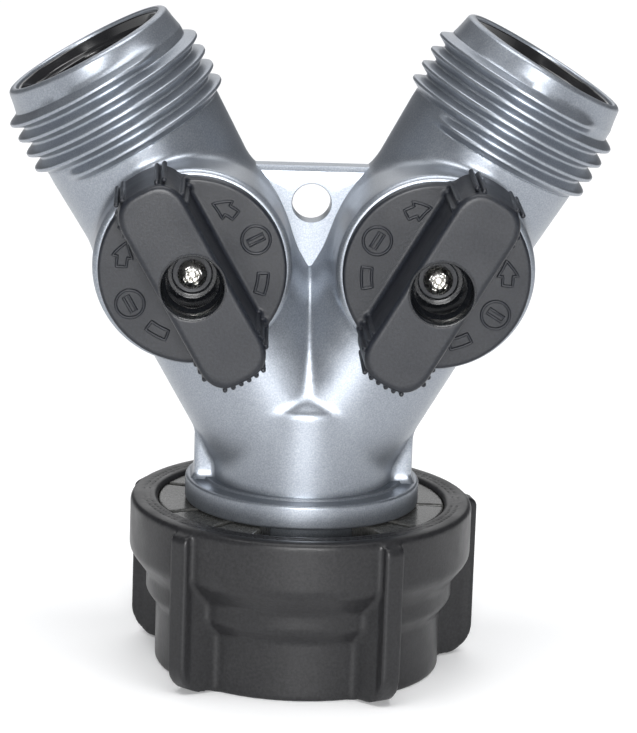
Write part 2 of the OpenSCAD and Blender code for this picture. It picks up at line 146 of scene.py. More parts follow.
def surface_net(field, lo, hi, h):
    """Points and quads of the surface where a field is zero, on a grid of pitch h."""
    n = [int(math.ceil((b - a) / h)) + 1 for a, b in zip(lo, hi)]
    ax = [a + h * np.arange(k) for a, k in zip(lo, n)]
    vol = np.empty(n, np.float32)
    for i in range(0, n[0], NET_SLAB):
        g = np.meshgrid(ax[0][i : i + NET_SLAB], ax[1], ax[2], indexing="ij")
        vol[i : i + NET_SLAB] = field(*g)
    inside = vol < 0
    # Cells with a sign change get one vertex, at the mean of their edge crossings.
    c = inside[:-1, :-1, :-1].astype(np.uint8)
    total = np.zeros_like(c)
    for dx in (0, 1):
        for dy in (0, 1):
            for dz in (0, 1):
                total += inside[
                    dx : n[0] - 1 + dx, dy : n[1] - 1 + dy, dz : n[2] - 1 + dz
                ]
    cells = np.argwhere((total > 0) & (total < 8))
    index = np.full(c.shape, -1, np.int64)
    index[tuple(cells.T)] = np.arange(len(cells))
    acc = np.zeros((len(cells), 3))
    cnt = np.zeros(len(cells))
    corners = [(a, b, d) for a in (0, 1) for b in (0, 1) for d in (0, 1)]
    for p in corners:
        for axis in range(3):
            if p[axis]:
                continue
            q = list(p)
            q[axis] = 1
            v0 = vol[tuple((cells + p).T)]
            v1 = vol[tuple((cells + q).T)]
            m = (v0 < 0) != (v1 < 0)
            t = np.where(m, v0 / np.where(m, v0 - v1, 1), 0)
            at = cells + np.array(p, float)
            at[:, axis] += t
            acc[m] += at[m]
            cnt[m] += 1
    pts = np.array(lo) + h * acc / cnt[:, None]
    # A quad round every grid edge that changes sign.
    quads = []
    for axis in range(3):
        u, v = (axis + 1) % 3, (axis + 2) % 3
        a = [slice(None)] * 3
        b = [slice(None)] * 3
        a[axis], b[axis] = slice(0, -1), slice(1, None)
        s0, s1 = inside[tuple(a)], inside[tuple(b)]
        edge = np.argwhere(s0 != s1)
        edge = edge[(edge[:, u] > 0) & (edge[:, v] > 0)]
        edge = edge[(edge[:, u] < n[u] - 1) & (edge[:, v] < n[v] - 1)]
        ring = []
        for du, dv in ((-1, -1), (0, -1), (0, 0), (-1, 0)):
            k = edge.copy()
            k[:, u] += du
            k[:, v] += dv
            ring.append(index[tuple(k.T)])
        quad = np.stack(ring, 1)
        flip = ~s0[tuple(edge.T)]
        quad[flip] = quad[flip][:, ::-1]
        quads.append(quad)
    quads = np.concatenate(quads)
    for _ in range(NET_STEPS):
        f, g = gradient(field, pts)
        step = f / np.maximum((g * g).sum(1), 0.2)
        pts -= g * np.clip(step, -h, h)[:, None]
    return pts, quads


def gradient(field, pts, e=0.01):
    """A field and its gradient at points, by central differences of e mm."""
    x, y, z = pts.T
    g = [
        field(x + e, y, z) - field(x - e, y, z),
        field(x, y + e, z) - field(x, y - e, z),
        field(x, y, z + e) - field(x, y, z - e),
    ]
    return field(x, y, z), np.stack(g, 1) / (2 * e)


# ---- Objects ----------------------------------------------------------------
def make(name, pts, faces, mat, slot, body, place=None, cuts=(), angle=None):
    """One piece from points in mm. place maps the points into the row frame first."""
    pts = np.asarray(pts, float)
    if place is not None:
        pts = pts @ np.array(place.to_3x3()).T + np.array(place.translation)
    me = bpy.data.meshes.new(name)
    me.from_pydata((pts * MM).tolist(), [], [list(map(int, f)) for f in faces])
    me.validate()
    bm = bmesh.new()
    bm.from_mesh(me)
    bmesh.ops.remove_doubles(bm, verts=bm.verts, dist=1e-7)
    for point, normal in cuts:
        cut_plane(bm, point, normal)
    bmesh.ops.recalc_face_normals(bm, faces=bm.faces)
    bm.to_mesh(me)
    bm.free()
    me.polygons.foreach_set("use_smooth", [True] * len(me.polygons))
    if angle:
        me.set_sharp_from_angle(angle=math.radians(angle))
    ob = bpy.data.objects.new(name, me)
    bpy.context.scene.collection.objects.link(ob)
    me.materials.append(mat)
    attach(ob, body)
    return ob


def lathe(profile, n=128):
    """Points and faces of a turned closed section [(r, z), ...]."""
    pts, faces = [], []
    m = len(profile)
    for k in range(n):
        a = 2 * math.pi * k / n
        pts += [(r * math.cos(a), r * math.sin(a), z) for r, z in profile]
    for k in range(n):
        k2 = (k + 1) % n
        for j in range(m):
            j2 = (j + 1) % m
            faces.append((k * m + j, k2 * m + j, k2 * m + j2, k * m + j2))
    return pts, faces


def rounded(profile, radii, seg=5):
    """A closed section with its corners rounded by the radii given."""
    out = []
    m = len(profile)
    for i, (p, r) in enumerate(zip(profile, radii)):
        p = np.array(p, float)
        if not r:
            out.append(tuple(p))
            continue
        a = np.array(profile[i - 1], float) - p
        b = np.array(profile[(i + 1) % m], float) - p
        la, lb = np.linalg.norm(a), np.linalg.norm(b)
        a, b = a / la, b / lb
        half = math.acos(max(-1, min(1, float(a @ b)))) / 2
        t = min(r / math.tan(half), 0.49 * la, 0.49 * lb)
        r = t * math.tan(half)
        c = p + (a + b) / np.linalg.norm(a + b) * (r / math.sin(half))
        p0, p1 = p + a * t - c, p + b * t - c
        sweep = math.acos(max(-1, min(1, float(p0 @ p1) / (r * r))))
        for k in range(seg + 1):
            w = k / seg
            q = (
                p0 * math.sin((1 - w) * sweep) + p1 * math.sin(w * sweep)
            ) / math.sin(sweep)
            out.append(tuple(c + q))
    return out


def arm_place(side):
    """An arm's own frame: Z along its axis from where the arms meet."""
    return Matrix.Translation((0, 0, APEX_Z)) @ Matrix.Rotation(side * ARM, 4, "Y")


def valve_place(side):
    """A valve's own frame: Z out of the front, Y along the arm."""
    return (
        Matrix.Translation((side * VALVE_X, 0, VALVE_Z))
        @ Matrix.Rotation(side * ARM, 4, "Y")
        @ Matrix.Rotation(math.radians(90), 4, "X")
    )


# ---- Materials --------------------------------------------------------------
def material(name, color, rough, metal=0.0, coat=0.0, coat_rough=0.1, spec=0.5):
    m = bpy.data.materials.new(name)
    m.use_nodes = True
    nt = m.node_tree
    b = nt.nodes["Principled BSDF"]
    b.inputs["Base Color"].default_value = (*color, 1)
    b.inputs["Roughness"].default_value = rough
    b.inputs["Metallic"].default_value = metal
    b.inputs["Coat Weight"].default_value = coat
    b.inputs["Coat Roughness"].default_value = coat_rough
    b.inputs["Specular IOR Level"].default_value = spec
    return m, nt, b


def noise(nt, scale, detail=3.0, rough=0.5):
    tc = nt.nodes.new("ShaderNodeTexCoord")
    n = nt.nodes.new("ShaderNodeTexNoise")
    n.inputs["Scale"].default_value = scale
    n.inputs["Detail"].default_value = detail
    n.inputs["Roughness"].default_value = rough
    nt.links.new(tc.outputs["Object"], n.inputs["Vector"])
    return n.outputs["Fac"]


def ramp(nt, fac, stops):
    r = nt.nodes.new("ShaderNodeValToRGB")
    while len(r.color_ramp.elements) < len(stops):
        r.color_ramp.elements.new(0.5)
    for e, (at, c) in zip(r.color_ramp.elements, stops):
        e.position = at
        e.color = (*c, 1) if len(c) == 3 else c
    nt.links.new(fac, r.inputs["Fac"])
    return r.outputs["Color"]


def to_range(nt, fac, lo, hi, a=0.3, b=0.7):
    r = nt.nodes.new("ShaderNodeMapRange")
    r.inputs["From Min"].default_value = a
    r.inputs["From Max"].default_value = b
    r.inputs["To Min"].default_value = lo
    r.inputs["To Max"].default_value = hi
    nt.links.new(fac, r.inputs["Value"])
    return r.outputs["Result"]


def bump(nt, b, layers):
    """Bump from (height socket, strength, distance in mm) layers."""
    last = None
    for height, strength, dist in layers:
        n = nt.nodes.new("ShaderNodeBump")
        n.inputs["Strength"].default_value = strength
        n.inputs["Distance"].default_value = dist * MM
        nt.links.new(height, n.inputs["Height"])
        if last:
            nt.links.new(last, n.inputs["Normal"])
        last = n.outputs["Normal"]
    nt.links.new(last, b.inputs["Normal"])


def silver_paint():
    m, nt, b = material(
        "silver_paint", (0.5, 0.52, 0.55), 0.38, metal=0.82, coat=0.12, coat_rough=0.32
    )
    flakes = noise(nt, 5200, 2.0)
    cloud = noise(nt, 260, 4.0)
    dark, mid, light = (0.228, 0.248, 0.28), (0.273, 0.297, 0.332), (0.334, 0.357, 0.39)
    col = ramp(nt, flakes, [(0.3, dark), (0.5, mid), (0.72, light)])
    mix = nt.nodes.new("ShaderNodeMix")
    mix.data_type = "RGBA"
    mix.blend_type = "MULTIPLY"
    mix.inputs["Factor"].default_value = 0.6
    shade = ramp(nt, cloud, [(0.3, (0.88, 0.885, 0.9)), (0.7, (1.0, 1.0, 1.0))])
    nt.links.new(col, mix.inputs["A"])
    nt.links.new(shade, mix.inputs["B"])
    nt.links.new(mix.outputs["Result"], b.inputs["Base Color"])
    nt.links.new(to_range(nt, cloud, 0.34, 0.42), b.inputs["Roughness"])
    bump(nt, b, [(noise(nt, 420, 2.0), 0.2, 0.04), (flakes, 0.1, 0.008)])
    return m


def black_plastic(name, base, rough, grain, relief=0.5):
    m, nt, b = material(name, base, rough, spec=0.33)
    fine = noise(nt, grain, 3.0, 0.6)
    wide = noise(nt, 180, 4.0)
    lo = tuple(c * 0.75 for c in base)
    hi = tuple(min(1, c * 1.45) for c in base)
    nt.links.new(ramp(nt, fine, [(0.35, lo), (0.7, hi)]), b.inputs["Base Color"])
    nt.links.new(to_range(nt, wide, rough * 0.83, rough * 1.2), b.inputs["Roughness"])
    bump(nt, b, [(fine, relief, 0.03), (wide, relief * 0.3, 0.06)])
    return m


def gloss_black():
    m, nt, b = material("sleeve_plastic", (0.012, 0.012, 0.013), 0.12, spec=0.6)
    w = noise(nt, 500, 3.0)
    nt.links.new(to_range(nt, w, 0.07, 0.22), b.inputs["Roughness"])
    bump(nt, b, [(w, 0.2, 0.05)])
    return m


def rubber():
    m, nt, b = material("black_rubber", (0.02, 0.02, 0.02), 0.7, spec=0.35)
    w = noise(nt, 1800, 3.0)
    col = ramp(nt, w, [(0.3, (0.014, 0.014, 0.014)), (0.7, (0.035, 0.035, 0.034))])
    nt.links.new(col, b.inputs["Base Color"])
    bump(nt, b, [(w, 0.5, 0.03)])
    return m


def metal(name, base, rough, grain=1500):
    m, nt, b = material(name, base, rough, metal=1.0)
    w = noise(nt, grain, 3.0)
    nt.links.new(to_range(nt, w, rough * 0.7, rough * 1.4), b.inputs["Roughness"])
    col = ramp(nt, w, [(0.3, tuple(c * 0.85 for c in base)), (0.7, base)])
    nt.links.new(col, b.inputs["Base Color"])
    bump(nt, b, [(w, 0.15, 0.02)])
    return m


def seat_plastic():
    m, nt, b = material("seat_plastic", (0.8, 0.8, 0.77), 0.4)
    w = noise(nt, 900, 2.0)
    col = ramp(nt, w, [(0.3, (0.74, 0.74, 0.71)), (0.7, (0.84, 0.84, 0.81))])
    nt.links.new(col, b.inputs["Base Color"])
    bump(nt, b, [(w, 0.2, 0.02)])
    return m


SILVER = silver_paint()
KNOB_BLACK = black_plastic("black_plastic", (0.009, 0.0105, 0.0145), 0.42, 3000)
BOWL_BLACK = black_plastic("bowl_plastic", (0.008, 0.009, 0.011), 0.12, 3000, 0.06)
NUT_BLACK = black_plastic("nut_plastic", (0.013, 0.013, 0.0142), 0.38, 2600)
RING_BLACK = black_plastic("ring_plastic", (0.07, 0.07, 0.067), 0.24, 2600)
SLEEVE = gloss_black()
RUBBER = rubber()
SCREW = metal("screw_steel", (0.74, 0.73, 0.7), 0.24)
CHROME = metal("ball_chrome", (0.8, 0.8, 0.82), 0.06)
BRASS = metal("stem_brass", (0.72, 0.55, 0.26), 0.25)
SEAT = seat_plastic()


# ---- The casting ------------------------------------------------------------
def casting(x, y, z):
    """Distance field of the cast body without its tab, rims, flange and threaded ends."""
    rad = np.hypot(x, y)
    # Neck, fuller at the front and back, sloping in under the valley; then the flange.
    oval = np.hypot(x, y * NECK_R / NECK_FRONT)
    slope = (oval + (z - NECK_TOP) * 0.7 - NECK_R) * 0.82
    f = smax(np.maximum(oval - NECK_R, 20.0 - z), slope, 0.35)
    f = np.maximum(f, z - 41.0)
    # Arms and bosses.
    arms = None
    for side in (-1, 1):
        s, ra = arm_coords(side, x, y, z)
        r_at = polyline_r(s, [(0, ARM_R), (WIDEN_S, ARM_R), (TOP_S, ARM_TOP_R)])
        # A block beside the tab stands a little proud, fading out downwards.
        block = np.clip((7.9 - np.abs(x)) / 0.8, 0, 1) * np.clip((z - 56.5) / 4.5, 0, 1)
        block = block * np.clip((TAB_TOP + 0.4 - z) / 0.8, 0, 1)
        arm = np.maximum(ra - r_at - 0.35 * block, np.maximum(ARM_FOOT_S - s, s - CUT_S - 2.0))
        rb = np.hypot(x - side * VALVE_X, z - VALVE_Z)
        boss = disc3(rb, -y, BOSS_R - 0.03, -2.0, BOSS_FRONT - 1.2)
        pad = disc3(rb, y, PAD_R, -2.0, PAD_BACK, 0.6)
        arm = smin(arm, boss, 1.3)
        arm = smin(arm, pad, 1.8)
        arms = arm if arms is None else smin(arms, arm, 0.7)
    f = smin(f, arms, 0.45)
    # Side webs, spreading at the foot.
    spread = 0.45 * np.clip((26.7 - z) / 1.2, 0, 1.5) ** 2
    web = box3(x, y, z - WEB_MID, (WEB_X, WEB_Y, WEB_HALF), 0.35) - spread
    f = smin(f, web, 0.5)
    # Waterways, valve chambers and stem bores.
    for side in (-1, 1):
        s, ra = arm_coords(side, x, y, z)
        f = smax(f, -np.maximum(ra - CHAMBER_R, CHAMBER_S - s), 0.2)
        f = np.maximum(f, -np.maximum(ra - MOUTH_R, MOUTH_S - s))
        f = np.maximum(f, -np.maximum(ra - PORT_R, -s))
        rb = np.hypot(x - side * VALVE_X, z - VALVE_Z)
        f = np.maximum(f, -np.maximum(rb - STEM_BORE_R, y))
        f = np.maximum(f, -np.maximum(rb - STEM_SEAT_R, np.maximum(y, -STEM_SEAT_Y - y)))
    f = smax(f, -np.maximum(rad - INLET_R, z - INLET_TOP), 0.4)
    # Clear of the tab's hole.
    return np.maximum(f, HOLE_R + 0.3 - np.hypot(x, z - HOLE_Z))


def cut_plane(bm, point, normal):
    """Slice off what lies beyond a plane and close the cut."""
    geom = bm.verts[:] + bm.edges[:] + bm.faces[:]
    res = bmesh.ops.bisect_plane(bm, geom=geom, plane_co=point, plane_no=normal, clear_outer=True)
    edges = [e for e in res["geom_cut"] if isinstance(e, bmesh.types.BMEdge)]
    bmesh.ops.triangle_fill(bm, use_beauty=False, edges=edges, normal=normal)


H_BODY = 0.43
pts, quads = surface_net(casting, (-40.5, -18.6, 21.0), (40.5, 14.2, 80.5), H_BODY)
BODY_CUTS = [(Vector((0, 0, FLANGE_TOP - 0.6)) * MM, Vector((0, 0, -1)))]
for side in (-1, 1):
    axis = Vector((side * math.sin(ARM), 0, math.cos(ARM)))
    BODY_CUTS.append(((Vector((0, 0, APEX_Z)) + axis * CUT_S) * MM, axis))
body = make(
    "y_body_casting", pts, quads, SILVER, "silver_paint", "body", cuts=BODY_CUTS, angle=50
)
pieces = [body]


# ---- Hanging tab and the front rims of the bosses ---------------------------
def tab_ring(half, low, high, y, count):
    """Points where rays from the hole's centre meet a rectangle, at depth y."""
    out = []
    for k in range(count):
        a = 2 * math.pi * (k + 0.5) / count
        c, d = math.cos(a), math.sin(a)
        to_side = half / max(abs(c), 1e-6)
        to_end = (high - HOLE_Z if d > 0 else HOLE_Z - low) / max(abs(d), 1e-6)
        t = min(to_side, to_end)
        out.append((c * t, y, HOLE_Z + d * t))
    return out


def hole_ring(r, y, count):
    """A circle of points round the hole's axis, at depth y."""
    turn = [2 * math.pi * (k + 0.5) / count for k in range(count)]
    return [(r * math.cos(a), y, HOLE_Z + r * math.sin(a)) for a in turn]


TAB_HALF, TAB_LOW, LIP = 7.8, 49.0, 0.62
count, half_t = 360, TAB_T / 2
rings = [
    hole_ring(HOLE_R, half_t - 0.1, count), hole_ring(HOLE_R, 0.1 - half_t, count),
    hole_ring(HOLE_R + 0.03, 0.03 - half_t, count), hole_ring(HOLE_R + 0.1, -half_t, count),
    tab_ring(TAB_HALF, TAB_LOW, TAB_TOP - LIP - 0.12, -half_t, count),
    tab_ring(TAB_HALF, TAB_LOW, TAB_TOP - LIP, 0.04 - half_t, count),
    tab_ring(TAB_HALF, TAB_LOW, TAB_TOP, 0.45 - half_t, count),
    tab_ring(TAB_HALF, TAB_LOW, TAB_TOP, half_t - 0.2, count),
    tab_ring(TAB_HALF, TAB_LOW, TAB_TOP - 0.2, half_t, count),
    hole_ring(HOLE_R + 0.1, half_t, count),
]
pts = [p for ring in rings for p in ring]
faces = []
for i in range(len(rings)):
    i2 = (i + 1) % len(rings)
    for k in range(count):
        k2 = (k + 1) % count
        faces.append((i * count + k, i * count + k2, i2 * count + k2, i2 * count + k))
pieces.append(make("y_body_tab", pts, faces, SILVER, "silver_paint", "body", angle=20))

prof = rounded(
    [(STEM_BORE_R, 14.6), (BOSS_R, 14.6), (BOSS_R, BOSS_FRONT), (STEM_BORE_R, BOSS_FRONT)],
    [0, 0, 0.8, 0],
    8,
)
for side, word in ((-1, "left"), (1, "right")):
    rim = make(
        f"{word}_boss_rim", *lathe(prof, 256), SILVER, "silver_paint", "body",
        valve_place(side), angle=50,
    )
    pieces.append(rim)


# ---- Threaded ends of the outlets -------------------------------------------
def thread_wave(u):
    """Height 0..1 of one 60 degree thread at u mm from its crest, edges eased."""
    u = np.abs((u + PITCH / 2) % PITCH - PITCH / 2)
    flank = (CREST_R - ROOT_R) * math.tan(math.radians(30))
    t = np.clip((u - 0.17) / flank, 0, 1)
    return 1 - (0.5 - 0.5 * np.cos(np.pi * t)) * 0.35 - t * 0.65


def outlet_end(side, s_left):
    """Outside from the shoulder to the rim with a helical thread, then the mouth.

    s_left is where the reference crest stands on the arm's left.
    """
    n = 288
    ds = 0.075
    s_rows = np.arange(CUT_S, THREAD_END_S, ds)
    cut_r = np.interp(CUT_S, [WIDEN_S, TOP_S], [ARM_R, ARM_TOP_R])
    top_r = ARM_TOP_R - 0.25
    base_pts = [(CUT_S, cut_r), (TOP_S, ARM_TOP_R), (56.7, 12.15), (THREAD_END_S, top_r)]
    psi = 2 * np.pi * np.arange(n) / n  # 0 at the front, growing towards +X
    S, PSI = np.meshgrid(s_rows, psi, indexing="ij")
    base = np.interp(S, [p[0] for p in base_pts], [p[1] for p in base_pts])
    # Crest position: s = s_left + PITCH * (psi + 90 deg) / 360, plus whole pitches.
    turn = (S - s_left) / PITCH - (PSI + np.pi / 2) / (2 * np.pi)
    k = np.round(turn)
    along = k + (PSI + np.pi / 2) / (2 * np.pi)  # turns from the reference crest
    off = (turn - k) * PITCH
    wave = thread_wave(off)
    ease = 0.07
    gate = np.clip((THREAD_TO - along) / ease, 0, 1) * np.clip((along - THREAD_FROM) / ease, 0, 1)
    gate = gate * gate * (3 - 2 * gate)
    end = np.minimum(THREAD_TO - along, along - THREAD_FROM)
    round_end = np.clip(1 - np.clip(0.05 - end, 0, 1) * 6, 0, 1)
    height = (CREST_R - base) * wave
    root_dip = (base - ROOT_R) * (1 - wave) * 0.6
    R = base + gate * (height - root_dip) * round_end
    x, z = R * np.sin(PSI), S
    y = -R * np.cos(PSI)
    # In the arm's frame +X is across towards the other side of the arm.
    P = np.stack([x, y, z], -1).reshape(-1, 3)
    rim = rounded(
        [(top_r, THREAD_END_S), (11.85, 58.0), (11.55, 59.85), (MOUTH_R, RIM_S), (MOUTH_R, CUT_S)],
        [0, 0, 0.95, 0.3, 0],
        9,
    )
    rim = rim[1:]
    rows = len(s_rows)
    extra = np.array(
        [[(r * math.sin(a), -r * math.cos(a), s) for a in psi] for r, s in rim]
    ).reshape(-1, 3)
    P = np.concatenate([P, extra])
    rows += len(rim)
    i = np.arange(rows)[:, None]
    j = np.arange(n)[None, :]
    a = i * n + j
    b = i * n + (j + 1) % n
    i2 = (i + 1) % rows
    c = i2 * n + (j + 1) % n
    d = i2 * n + j
    faces = np.stack([a, b, c, d], -1).reshape(-1, 4)
    name = ("left" if side < 0 else "right") + "_outlet_thread"
    return make(name, P, faces, SILVER, "silver_paint", "body", arm_place(side), angle=50)


pieces.append(outlet_end(-1, LEFT_CREST_S))
pieces.append(outlet_end(1, RIGHT_CREST_S))

# Spigot and collar below the flange, which the snap ring turns on.
prof = rounded(
    [(INLET_R, SPIGOT_Z), (SPIGOT_FOOT_R, SPIGOT_Z), (SPIGOT_FOOT_R, SPIGOT_FOOT_TOP),
     (SPIGOT_R, SPIGOT_FOOT_TOP), (SPIGOT_R, FLANGE_Z), (FLANGE_R, FLANGE_Z),
     (FLANGE_R, FLANGE_TOP), (13.5, FLANGE_TOP), (13.3, FLANGE_TOP + 0.3),
     (INLET_R, FLANGE_TOP + 0.3)],
    [0.3, 0.4, 0.3, 0.2, 0.25, 0.4, 0.4, 0.1, 0.15, 0],
    7,
)
pieces.append(make("y_body_flange", *lathe(prof, 256), SILVER, "silver_paint", "body", angle=50))
for p in pieces:
    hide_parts("y_body")


# ---- Outlet sleeves -----------------------------------------------------------
for side, word in ((-1, "left"), (1, "right")):
    prof = rounded(
        [(SLEEVE_FOOT_R, SLEEVE_FOOT_S), (9.2, SLEEVE_FOOT_S), (9.2, 42.1), (SLEEVE_R, 42.1),
         (SLEEVE_R, 44.0), (SLEEVE_GROOVE_R, 44.0), (SLEEVE_GROOVE_R, 45.5), (SLEEVE_R, 45.5),
         (SLEEVE_R, SLEEVE_TOP_S), (9.95, SLEEVE_TOP_S), (9.7, 58.2), (SLEEVE_BORE_R, 57.9),
         (SLEEVE_BORE_R, 43.6), (SLEEVE_FOOT_R, 41.6)],
        [0.2, 0.2, 0.1, 0.2, 0.1, 0.1, 0.1, 0.1, 0.22, 0.2, 0.3, 0.3, 0.3, 0.3],
    )
    sl = make(
        f"{word}_sleeve_liner", *lathe(prof, 160), SLEEVE, "sleeve_plastic", "body",
        arm_place(side), angle=50,
    )
    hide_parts(f"{word}_outlet_sleeve")


# ---- Knobs ----------------------------------------------------------------------
def bar_shape(x, y, half, w, corner):
    """Straight sides, ends on an arc about the knob's axis, rounded corners."""
    return smax(np.abs(x) - w / 2, np.hypot(x, y) - half, corner * 1.15)


def knob(x, y, z):
    """Distance field of a lever: disc, bar with grip ribs, and the room inside."""
    rad = np.hypot(x, y)
    disc = disc3(rad, z, DISC_R, DISC_FRONT - DISC_T, DISC_FRONT, 0.35)
    # The bar widens slightly towards the disc.
    t = np.clip((BAR_TOP - z) / 12.0, 0, 1)
    d2 = bar_shape(x, y, BAR_HALF - 0.25 + 0.25 * t, BAR_W - 0.3 + 0.6 * t, 2.6)
    # Grip ribs along the ends, stopping just below the top.
    rib = np.full_like(x, 9.0)
    for a0 in (-13.5, -9.0, -4.5, 0.0, 4.5, 9.0):
        a = math.radians(a0 + 2.0)
        rib = np.minimum(rib, np.hypot(x - GRIP_R * math.sin(a), y + GRIP_R * math.cos(a)))
    for a0 in (-14, -10, 10, 14):
        a = math.radians(a0)
        rib = np.minimum(rib, np.hypot(x - GRIP_R * math.sin(a), y - GRIP_R * math.cos(a)))
    for sx in (-1, 1):
        for yy in (-11.2, -10.1, -9.0, 9.6, 10.8):
            rib = np.minimum(rib, np.hypot(x - sx * (4.35 + 0.3 * t), y - yy))
    rib = smax(rib - RIB_R, z - (BAR_TOP - 0.75), 0.3)
    bottom = (DISC_FRONT - DISC_T + 0.1) - z
    bar = smax(d2, z - BAR_TOP, 0.75)
    bar = smax(bar, bottom, 0.3)
    rib = np.maximum(rib, bottom)
    bar = smin(bar, rib, 0.12)
    f = smin(disc, bar, 0.7)
    # Room for the bowl round the screw, which is a piece of its own.
    f = np.maximum(f, -np.maximum(rad - WELL_R - BOWL_WALL / 2, WELL_Y - z))
    f = np.maximum(f, SCREW_HOLE_R - rad)
    drive = np.maximum(box2(x, y, DRIVE_HALF, DRIVE_HALF, 0.2), z - (WELL_Y - 1.0))
    return np.maximum(f, -drive)


H_KNOB = 0.17
kp, kq = surface_net(knob, (-13.0, -15.1, 17.0), (13.0, 15.1, 30.2), H_KNOB)


def stroke(path, width=0.42, height=0.24):
    """A raised rounded line along a closed path of (x, y) on the disc's face."""
    path = np.array(path, float)
    n = len(path)
    d = np.roll(path, -1, 0) - np.roll(path, 1, 0)
    d /= np.linalg.norm(d, axis=1)[:, None]
    nor = np.stack([-d[:, 1], d[:, 0]], 1)
    half = [(0.5, -0.2), (0.46, 0.45), (0.25, 0.9)]
    prof = [(-u, v) for u, v in half] + [(0, 1)] + half[::-1]
    m = len(prof)
    pts, faces = [], []
    for p, q in zip(path, nor):
        for u, v in prof:
            a = p + q * u * width
            pts.append((a[0], a[1], DISC_FRONT - 0.01 + v * height))
    for i in range(n):
        i2 = (i + 1) % n
        for j in range(m):
            j2 = (j + 1) % m
            faces.append((i * m + j, i2 * m + j, i2 * m + j2, i * m + j2))
    return pts, faces


def polar(r, a):
    """A point at radius r and a degrees clockwise from the bar's upper end."""
    t = math.radians(a)
    return (r * math.sin(t), r * math.cos(t))


def dense(corners, step=0.25):
    """A closed outline of (r, angle) corners, filled in along arcs and radii."""
    out = []
    for (r0, a0), (r1, a1) in zip(corners, corners[1:] + corners[:1]):
        length = max(abs(r1 - r0), abs(math.radians(a1 - a0)) * (r0 + r1) / 2)
        n = max(1, int(length / step))
        for k in range(n):
            w = k / n
            out.append(polar(r0 + (r1 - r0) * w, a0 + (a1 - a0) * w))
    return out


def marking_set(mid, tail, head, is_open):
    """Outlines on one half of the disc: tail block, generic valve sign, arrowhead.

    The three angles are clockwise from the bar's upper end.
    """
    r, w = 9.0, 1.3
    sign = 1 if head > tail else -1
    lo, hi = tail - sign * 8.5, tail + sign * 8.5
    out = [dense([(r - w / 2, lo), (r + w / 2, lo), (r + w / 2, hi), (r - w / 2, hi)])]
    lo, hi, tip = head - sign * 10, head - sign * 2, head + sign * 11
    arrow = [(r - w / 2, lo), (r + w / 2, lo), (r + w / 2, hi), (r + w, hi)]
    arrow += [(r, tip), (r - w, hi), (r - w / 2, hi)]
    out.append(dense(arrow))
    # A ring for the pipe with a bar along it (open) or across it (closed).
    c = np.array(polar(r, mid))
    turn = np.linspace(0, 2 * np.pi, 49)[:-1]
    out.append([tuple(c + 1.8 * np.array([math.cos(t), math.sin(t)])) for t in turn])
    t = math.radians(mid)
    radial = np.array([math.sin(t), math.cos(t)])
    along = np.array([math.cos(t), -math.sin(t)])
    d, e = (along, radial) if is_open else (radial, along)
    corners = ((-1, -1), (1, -1), (1, 1), (-1, 1))
    out.append([tuple(c + d * 1.1 * u + e * 0.36 * v) for u, v in corners])
    return out


# The bowl: straight, then narrowing to a step ring round the screw's head.
top, out_r = BAR_TOP + 0.01, WELL_R + BOWL_WALL
bowl = rounded(
    [(out_r, top), (WELL_R, top), (3.93, top - 2.4), (3.35, top - 3.5), (3.15, WELL_Y + 0.45),
     (2.5, WELL_Y + 0.45), (2.4, WELL_Y - 0.1), (out_r, WELL_Y - 0.1)],
    [0, 0.3, 2.4, 0.4, 0.12, 0.2, 0, 0],
    8,
)

for side, word in ((-1, "left"), (1, "right")):
    valve, place = f"{word}_valve", valve_place(side)
    bowl_ob = make(
        f"{word}_lever_bowl", *lathe(bowl, 160), BOWL_BLACK, "black_plastic", valve, place,
        angle=60,
    )
    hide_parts(f"{word}_knob")
    lever = make(f"{word}_lever", kp, kq, KNOB_BLACK, "black_plastic", valve, place)
    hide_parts(f"{word}_knob")
    pts, faces = [], []
    for path in marking_set(-90, -122, -48, True) + marking_set(92, 129, 56, False):
        p, q = stroke(path)
        base = len(pts)
        pts += p
        faces += [tuple(i + base for i in f) for f in q]
    marks = make(
        f"{word}_lever_markings", pts, faces, KNOB_BLACK, "black_plastic", valve, place, angle=60
    )
    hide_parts(f"{word}_knob")


# ---- Screws ---------------------------------------------------------------------
def screw(x, y, z):
    """Distance field of a pan-head screw with a cross recess."""
    rad = np.hypot(x, y)
    t = z - WELL_Y
    # Pan head: upright rim, then a flattened dome.
    dome = np.hypot(rad / 1.9, (t - 0.35) / 1.35) - 1.0
    head = smax(np.maximum(rad - HEAD_R, 0.02 - t), dome * 1.3, 0.25)
    shank = np.maximum(rad - SHANK_R, np.maximum(-SHANK_LOW - t, t - 1.0))
    f = np.minimum(head, shank)
    # Cross recess with flared wings and a deeper middle.
    for u, v in ((x, y), (y, x)):
        slot = box2(u, v, 0.9 + 0.35 * (t - 0.8), 0.24 + 0.1 * (t - 0.8), 0.08)
        slot = np.maximum(slot, 0.75 - t)
        f = smax(f, -slot, 0.08)
    core = np.maximum(rad - 0.5 - 0.25 * (t - 0.8), 0.45 - t)
    return smax(f, -core, 0.08)


H_SCREW = 0.085
sp, sq = surface_net(screw, (-2.5, -2.5, WELL_Y - 7.4), (2.5, 2.5, WELL_Y + 2.2), H_SCREW)
for side, word in ((-1, "left"), (1, "right")):
    head = make(
        f"{word}_screw", sp, sq, SCREW, "screw_steel", f"{word}_valve", valve_place(side), angle=60
    )
    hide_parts(f"{word}_knob_screw")


